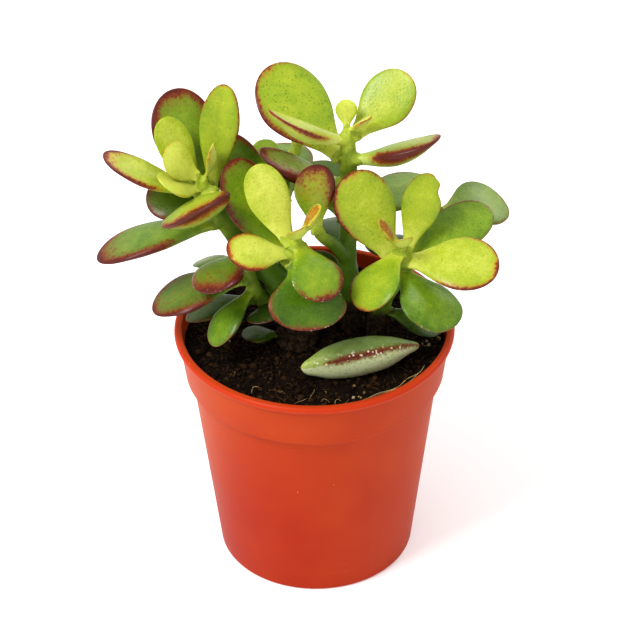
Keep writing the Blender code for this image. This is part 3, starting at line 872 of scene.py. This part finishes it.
def potOutside(rim, top):
    # radius and height down the outside: rolled lip, collar, a soft step in, body, rounded foot, underside
    ways = potMake
    half, under, ease = ways["lip"] / 2, top - ways["lip"], ways["collarEase"]
    collarFoot = (ways["collarLow"], top - ways["collar"] + ways["stepAbove"])
    outline = arcPoints((rim - half, top - half), half, 90, -90, 14)
    outline += arcPoints((ways["collarTop"] + ease, under - ease), ease, 90, 180, 4)
    outline += straightWall((ways["collarTop"], under - 0.4), collarFoot, 14) + [collarFoot]
    stepTop = (collarFoot[0], collarFoot[1] - ways["stepDrop"])
    stepFoot = (ways["bodyTop"], stepTop[1] - ways["stepHigh"])
    outline += easedWall(stepTop, stepFoot, ways["stepPoints"])[1:]
    foot = arcPoints((ways["base"] - ways["foot"], ways["foot"]), ways["foot"], 0, -90, 8)
    outline += straightWall(outline[-1], foot[0], 30) + foot
    return outline + list(ways["underside"])


def potInside(top):
    # radius and height up the inside: floor, body, step out, collar and the lip's inner edge
    ways = potMake
    wall, ease, shoulder = ways["wall"], ways["rimEase"], top - ways["collar"]
    foot = (ways["base"] - wall + 0.3, ways["floor"] + ways["innerFoot"])
    body = (ways["bodyTop"] - wall, shoulder)
    collar = (ways["collarLow"] - wall + 0.13, shoulder + ways["innerStep"])
    mouth = (ways["collarTop"] - wall, top - ease)
    outline = [(0.0, ways["floor"]), (foot[0] - ways["innerFoot"], ways["floor"]), foot]
    outline += straightWall(foot, body, 20) + easedWall(body, collar, 6) + straightWall(collar, mouth, 8)
    return outline + arcPoints((mouth[0] + ease, mouth[1]), ease, 180, 90, 5)


def turnedMesh(profile, top, foot):
    # the profile turned round the pot's axis, very slightly out of round, with marks for height and rim
    ways, steps, under = potMake, potMake["steps"], top - potMake["lip"]
    points, faces, rows = [], [], []
    marks = {"height": [], "rim": []}
    for radius, height in profile:
        ring = []
        edge = smoothStep(ways["collarTop"] + 0.1, ways["collarTop"] + 0.6, radius)
        for step in range(steps if radius > 0 else 1):
            spot = spin(radius, 360 * step / steps, height)
            turn = math.tau * step / steps
            drift = noise.noise(Vector((math.cos(turn), math.sin(turn), height * 0.012)))
            grow = 1 + drift * ways["warp"] * smoothStep(2, ways["warpFrom"], height)
            if not ways["warpFrom"] < radius < ways["collarTop"] + 0.5:
                grow = 1
            ring.append(len(points))
            points.append(Vector((spot.x * grow, spot.y * grow, spot.z)) * mm + foot)
            marks["height"].append(height / top)
            marks["rim"].append(edge * smoothStep(under - 1, under, height))
        rows.append(ring)
    for a, b in zip(rows, rows[1:]):
        for step in range(steps):
            after = (step + 1) % steps
            corners = [a[step % len(a)], b[step % len(b)], b[after % len(b)], a[after % len(a)]]
            faces.append([c for k, c in enumerate(corners) if c not in corners[:k]])
    mesh = meshFrom("pot_shell", points, faces, marks)
    faceOut(mesh)
    return mesh


def drilled(mesh):
    # the pot with its drain holes cut through the floor
    ways = potMake
    holder = addObject("pot_rough", mesh)
    radius, drills = ways["drainRadius"] * mm, []
    for number in range(ways["drains"]):
        drillMesh = bpy.data.meshes.new("drill")
        shape = bmesh.new()
        bmesh.ops.create_cone(shape, cap_ends=True, segments=ways["drainSides"], radius1=radius,
                              radius2=radius, depth=ways["drillLength"] * mm)
        shape.to_mesh(drillMesh)
        shape.free()
        drill = addObject("drill", drillMesh)
        drill.location = spin(ways["drainCircle"] * mm, 360 * (number + 0.5) / ways["drains"])
        cut = holder.modifiers.new("Drain", "BOOLEAN")
        cut.operation = "DIFFERENCE"
        cut.solver = "EXACT"
        cut.object = drill
        drills.append(drill)
    finished = applied(holder)
    for drill in drills:
        bpy.data.objects.remove(drill)
    return finished


def buildPot():
    low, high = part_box("pot")
    top = (high.z - low.z) / mm
    rim = (high.x - low.x) / 2 / mm
    mesh = turnedMesh(potInside(top) + potOutside(rim, top), top, Vector((0, 0, low.z)))
    return addPiece("pot_shell", drilled(mesh), potSkin(), ["pot"])


buildPot()
print("pot built")


# soil

soilMake = {
    "rings": 110, "steps": 300, "clump": ((0.13, 1.6), (0.34, 1.0), (0.95, 0.5)), "clumpShare": 0.8,
    "sunk": 1.5 * mm, "domed": 1.1 * mm, "socketDepth": 1.8 * mm, "wallGap": 0.35 * mm,
    # height and radius down the side, in mm: inside the pot's wall, to just above its floor
    "side": ((72.4, 40.7), (70.2, 40.1), (68.0, 38.2), (4.0, 30.7), (2.1, 28.8)),
    "granules": 3400, "smallShare": 0.87, "smallSize": (0.25, 0.75), "bigSize": (0.8, 1.4),
    "fibres": 300, "fibreLength": (2, 7), "fibreRadius": (0.05, 0.12), "fibreLift": (0.0, 1.3),
    # pale rootlets: x, y, heading, length, curl, lift and radius, in mm and degrees
    "rootlets": (
        (-19.9, -29.4, 78, 4.4, -70, 1.6, 0.17), (-2.0, -33.5, 48, 6.5, 50, 0.9, 0.08),
        (1.6, -34.6, 12, 4.2, -70, 0.8, 0.07), (6.4, -36.4, 120, 4.0, -130, 0.9, 0.13),
        (-6.5, -35.5, 12, 5.5, 30, 0.3, 0.06), (-9.5, -29.0, 130, 3.6, 60, 0.6, 0.05),
        (-25.8, -21.5, 50, 3.5, 70, 0.5, 0.05), (3.4, -31.6, 70, 3.0, 60, 0.8, 0.06),
        (9.0, -36.0, 35, 3.4, 60, 0.4, 0.06),
    ),
    # straws along the inside of the rim: first and last degree, radius and height above the soil
    "straws": ((-72, -37, 42.0, 4.6), (-67, -47, 42.1, 5.2), (-50, -34, 41.9, 5.5), (-60, -40, 41.6, 3.9)),
    "strawRadius": 0.09 * mm,
    # where grit and perlite gather: x, y and spread, in mm
    "gathered": (
        (37.2, -1.0, 2.0), (36.4, -3.4, 1.4), (13.2, -29.5, 2.0), (0, 28, 10), (-28, 8, 7),
        (13.0, -31.5, 1.2),
    ),
    "grit": 16, "gritSize": (0.30, 0.65), "perlite": 14, "perliteSize": (0.30, 0.70),
    "black": (0.0028, 0.0018, 0.0012), "brown": (0.020, 0.010, 0.005), "crumb": (0.080, 0.040, 0.016),
    "fibreDark": (0.020, 0.011, 0.006), "fibrePale": (0.140, 0.075, 0.030),
    "strawDark": (0.260, 0.150, 0.060), "strawPale": (0.620, 0.460, 0.230),
    "perliteDark": (0.360, 0.300, 0.170), "perlitePale": (0.560, 0.490, 0.310),
    "gritDark": (0.150, 0.080, 0.028), "gritPale": (0.400, 0.260, 0.100), "shine": 0.12, "relief": 0.6 * mm,
}


def soilSkin(name, dark, pale, scale, rough):
    look = Look(name)
    place = look.place()
    tone = look.mark("tone")
    broad, fine = look.cloud(scale * 0.3, 4, place, 0.6), look.cloud(scale, 4, place, 0.65)
    share = (fine.rise(0.42, 0.74) * 0.6 + (broad - 0.5) * 0.5 + tone * 0.7).held()
    return look.finish({
        "Base Color": look.blend(share, soilMake[dark], soilMake[pale]),
        "Roughness": (rough + (fine - 0.5) * 0.2).held(), "Normal": look.bump(fine, soilMake["relief"], 0.7),
        "Specular IOR Level": soilMake["shine"],
    })


def soilTop():
    # the CAD soil's top, with its stem sockets closed
    shape = weldedShape("soil")
    tree = BVHTree.FromBMesh(shape)
    shape.free()
    low, high = soilBox
    reach = (high.x - low.x) / 2

    def height(x, y):
        flat = math.hypot(x, y) / reach
        settled = high.z - soilMake["sunk"] - flat ** 2 * soilMake["domed"]
        shrink = min(1.0, 0.96 / max(flat, 0.001))
        hit = tree.ray_cast(Vector((x * shrink, y * shrink, high.z + 0.01)), Vector((0, 0, -1)))[0]
        if hit and abs(hit.z - settled) < soilMake["socketDepth"]:
            settled = settled * 0.4 + hit.z * 0.6
        lumps = 0.0
        for number, (often, tall) in enumerate(soilMake["clump"]):
            lumps += noise.noise(Vector((x / mm * often, y / mm * often, 3.7 * number))) * tall
        return settled + lumps * mm * soilMake["clumpShare"]

    return height, reach + soilMake["wallGap"]


def buildSoil(height, reach):
    points, tones = [Vector((0, 0, height(0, 0)))], [0.2]
    rings, steps, side = soilMake["rings"], soilMake["steps"], soilMake["side"]
    for ring in range(1, rings + 1):
        for step in range(steps):
            spot = spin(reach * ring / rings, 360 * step / steps)
            points.append(Vector((spot.x, spot.y, height(spot.x, spot.y))))
            tones.append(0.5 + 0.5 * noise.noise(spot / mm * 0.4))
    for z, radius in side:
        points += [spin(radius * mm, 360 * step / steps, z * mm) for step in range(steps)]
    points.append(Vector((0, 0, soilBox[0].z)))
    tones += [0.2] * (len(points) - len(tones))
    faces = closedFaces(rings + len(side), steps, 1, 0, len(points) - 1)
    mesh = meshFrom("soil_bed", points, faces, {"tone": tones})
    faceOut(mesh)
    return addPiece("soil_bed", mesh, soilSkin("darkSoil", "black", "brown", 1300, 0.92), ["soil"])


def roundLump(detail):
    shape = bmesh.new()
    bmesh.ops.create_icosphere(shape, subdivisions=detail, radius=1)
    shape.verts.index_update()
    points = [vertex.co.copy() for vertex in shape.verts]
    faces = [[vertex.index for vertex in face.verts] for face in shape.faces]
    shape.free()
    return points, faces


def scatterLumps(name, look, spots, detail=1, flat=0.75):
    ball, ballFaces = roundLump(detail)
    points, faces, tones = [], [], []
    for number, (centre, size, shade) in enumerate(spots):
        wide, high = lucky.uniform(0.65, 1.0), flat * lucky.uniform(0.7, 1.1)
        turn = Matrix.Rotation(lucky.uniform(0, math.tau), 3, "Z")
        turn = turn @ Matrix.Rotation(lucky.uniform(-0.5, 0.5), 3, "X")
        seed = Vector((number * 3.3, number * 1.7, 0))
        start = len(points)
        for spot in ball:
            bend = 1 + 0.48 * noise.noise(spot * 1.3 + seed) + 0.24 * noise.noise(spot * 3.1 + seed)
            points.append(centre + turn @ Vector((spot.x, spot.y * wide, spot.z * high)) * size * bend)
        tones += [shade] * len(ball)
        faces += [[start + corner for corner in face] for face in ballFaces]
    return addPiece(name, meshFrom(name, points, faces, {"tone": tones}), look)


def clearOfStems(x, y, margin):
    spot = Vector((x, y, soilBox[1].z + 1 * mm))
    return nearestStem(spot)[0] > margin


def buildGranules(height, reach):
    spots = []
    while len(spots) < soilMake["granules"]:
        spot = spin(reach * math.sqrt(lucky.random()) * 0.985, lucky.uniform(0, 360))
        small = lucky.random() < soilMake["smallShare"]
        size = lucky.uniform(*soilMake["smallSize" if small else "bigSize"]) * mm
        if math.hypot(spot.x, spot.y) + size > reach or not clearOfStems(spot.x, spot.y, size * 0.4):
            continue
        centre = Vector((spot.x, spot.y, height(spot.x, spot.y) + size * lucky.uniform(-0.1, 0.35)))
        spots.append((centre, size, lucky.random() ** 2.6))
    scatterLumps("soil_crumbs", soilSkin("peatCrumb", "black", "crumb", 1700, 0.9), spots)


def fibrePoints(start, heading, length, curl, lift, height, count=9):
    line, spot, turn = [], start.copy(), heading
    for k in range(count):
        ground = height(spot.x, spot.y)
        rise = lift * math.sin(math.pi * k / (count - 1))
        line.append(Vector((spot.x, spot.y, ground + 0.25 * mm + rise)))
        turn += curl / count * (1 + lucky.uniform(-0.4, 0.4))
        spot += spin(length / count, turn)
    return line


def sweepFibre(shape, line, radius, tone, shade, sides=5):
    rings = []
    for index, spot in enumerate(line):
        ahead = (line[min(index + 1, len(line) - 1)] - line[max(index - 1, 0)]).normalized()
        side = ahead.orthogonal().normalized()
        other = ahead.cross(side)
        share = index / (len(line) - 1)
        thin = radius * (1 - 0.55 * abs(share * 2 - 1) ** 3)
        ring = []
        for k in range(sides):
            turn = math.tau * k / sides
            vertex = shape.verts.new(spot + (side * math.cos(turn) + other * math.sin(turn)) * thin)
            vertex[tone] = shade
            ring.append(vertex)
        if rings:
            for k in range(sides):
                after = (k + 1) % sides
                shape.faces.new((rings[-1][k], rings[-1][after], ring[after], ring[k]))
        else:
            shape.faces.new(list(reversed(ring)))
        rings.append(ring)
    shape.faces.new(rings[-1])


def fibrePiece(name, look, rows):
    shape = bmesh.new()
    tone = shape.verts.layers.float.new("tone")
    for line, radius, shade in rows:
        sweepFibre(shape, line, radius, tone, shade)
    bmesh.ops.recalc_face_normals(shape, faces=shape.faces)
    mesh = bpy.data.meshes.new(name)
    shape.to_mesh(mesh)
    shape.free()
    return addPiece(name, mesh, look)


def buildFibres(height, reach):
    rows = []
    while len(rows) < soilMake["fibres"]:
        start = spin(reach * math.sqrt(lucky.random()) * 0.90, lucky.uniform(0, 360))
        if not clearOfStems(start.x, start.y, 1.5 * mm):
            continue
        heading, length = lucky.uniform(0, 360), lucky.uniform(*soilMake["fibreLength"]) * mm
        curl, lift = lucky.uniform(-140, 140), lucky.uniform(*soilMake["fibreLift"]) * mm
        line = fibrePoints(start, heading, length, curl, lift, height)
        if all(math.hypot(spot.x, spot.y) < reach - 0.4 * mm for spot in line):
            rows.append((line, lucky.uniform(*soilMake["fibreRadius"]) * mm, lucky.random()))
    fibrePiece("soil_fibres", soilSkin("peatFibre", "fibreDark", "fibrePale", 900, 0.8), rows)


def strawLine(first, last, radius, rise, ground, count=14):
    line = []
    for k in range(count):
        share = k / (count - 1)
        wave = radius - 0.5 * math.sin(share * 7)
        line.append(spin(wave * mm, first + (last - first) * share, ground + (rise - 0.3 + 0.7 * share) * mm))
    return line


def buildStraws(height):
    # pale rootlets and straws that stand out, at the front and along the inside of the rim
    pale = []
    for x, y, heading, length, curl, lift, radius in soilMake["rootlets"]:
        line = fibrePoints(Vector((x, y, 0)) * mm, heading, length * mm, curl, lift * mm, height, 12)
        pale.append((line, radius * mm, lucky.uniform(0.5, 1)))
    for first, last, radius, rise in soilMake["straws"]:
        pale.append((strawLine(first, last, radius, rise, height(0, 0)), soilMake["strawRadius"], 0.9))
    fibrePiece("soil_straws", soilSkin("paleStraw", "strawDark", "strawPale", 700, 0.6), pale)


def pileGrains(count, sizes, height, reach):
    spots = []
    while len(spots) < count:
        x, y, spread = lucky.choice(soilMake["gathered"])
        spot = Vector((x + lucky.gauss(0, spread), y + lucky.gauss(0, spread), 0)) * mm
        size = lucky.uniform(*sizes) * mm
        if math.hypot(spot.x, spot.y) < reach - size and clearOfStems(spot.x, spot.y, size):
            spot.z = height(spot.x, spot.y) + size * 0.55
            spots.append((spot, size, lucky.random()))
    return spots


def buildGrains(height, reach):
    for name, material, dark, pale, scale, rough in (
            ("grit", "ochreGrit", "gritDark", "gritPale", 900, 0.6),
            ("perlite", "perliteGrain", "perliteDark", "perlitePale", 1200, 0.8)):
        spots = pileGrains(soilMake[name], soilMake[name + "Size"], height, reach)
        look = soilSkin(material, dark, pale, scale, rough)
        scatterLumps("soil_" + name, look, spots, detail=2, flat=0.9)


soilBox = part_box("soil")
soilHeight, soilReach = soilTop()
buildSoil(soilHeight, soilReach)
buildGranules(soilHeight, soilReach)
buildFibres(soilHeight, soilReach)
buildStraws(soilHeight)
buildGrains(soilHeight, soilReach)
print("soil laid")
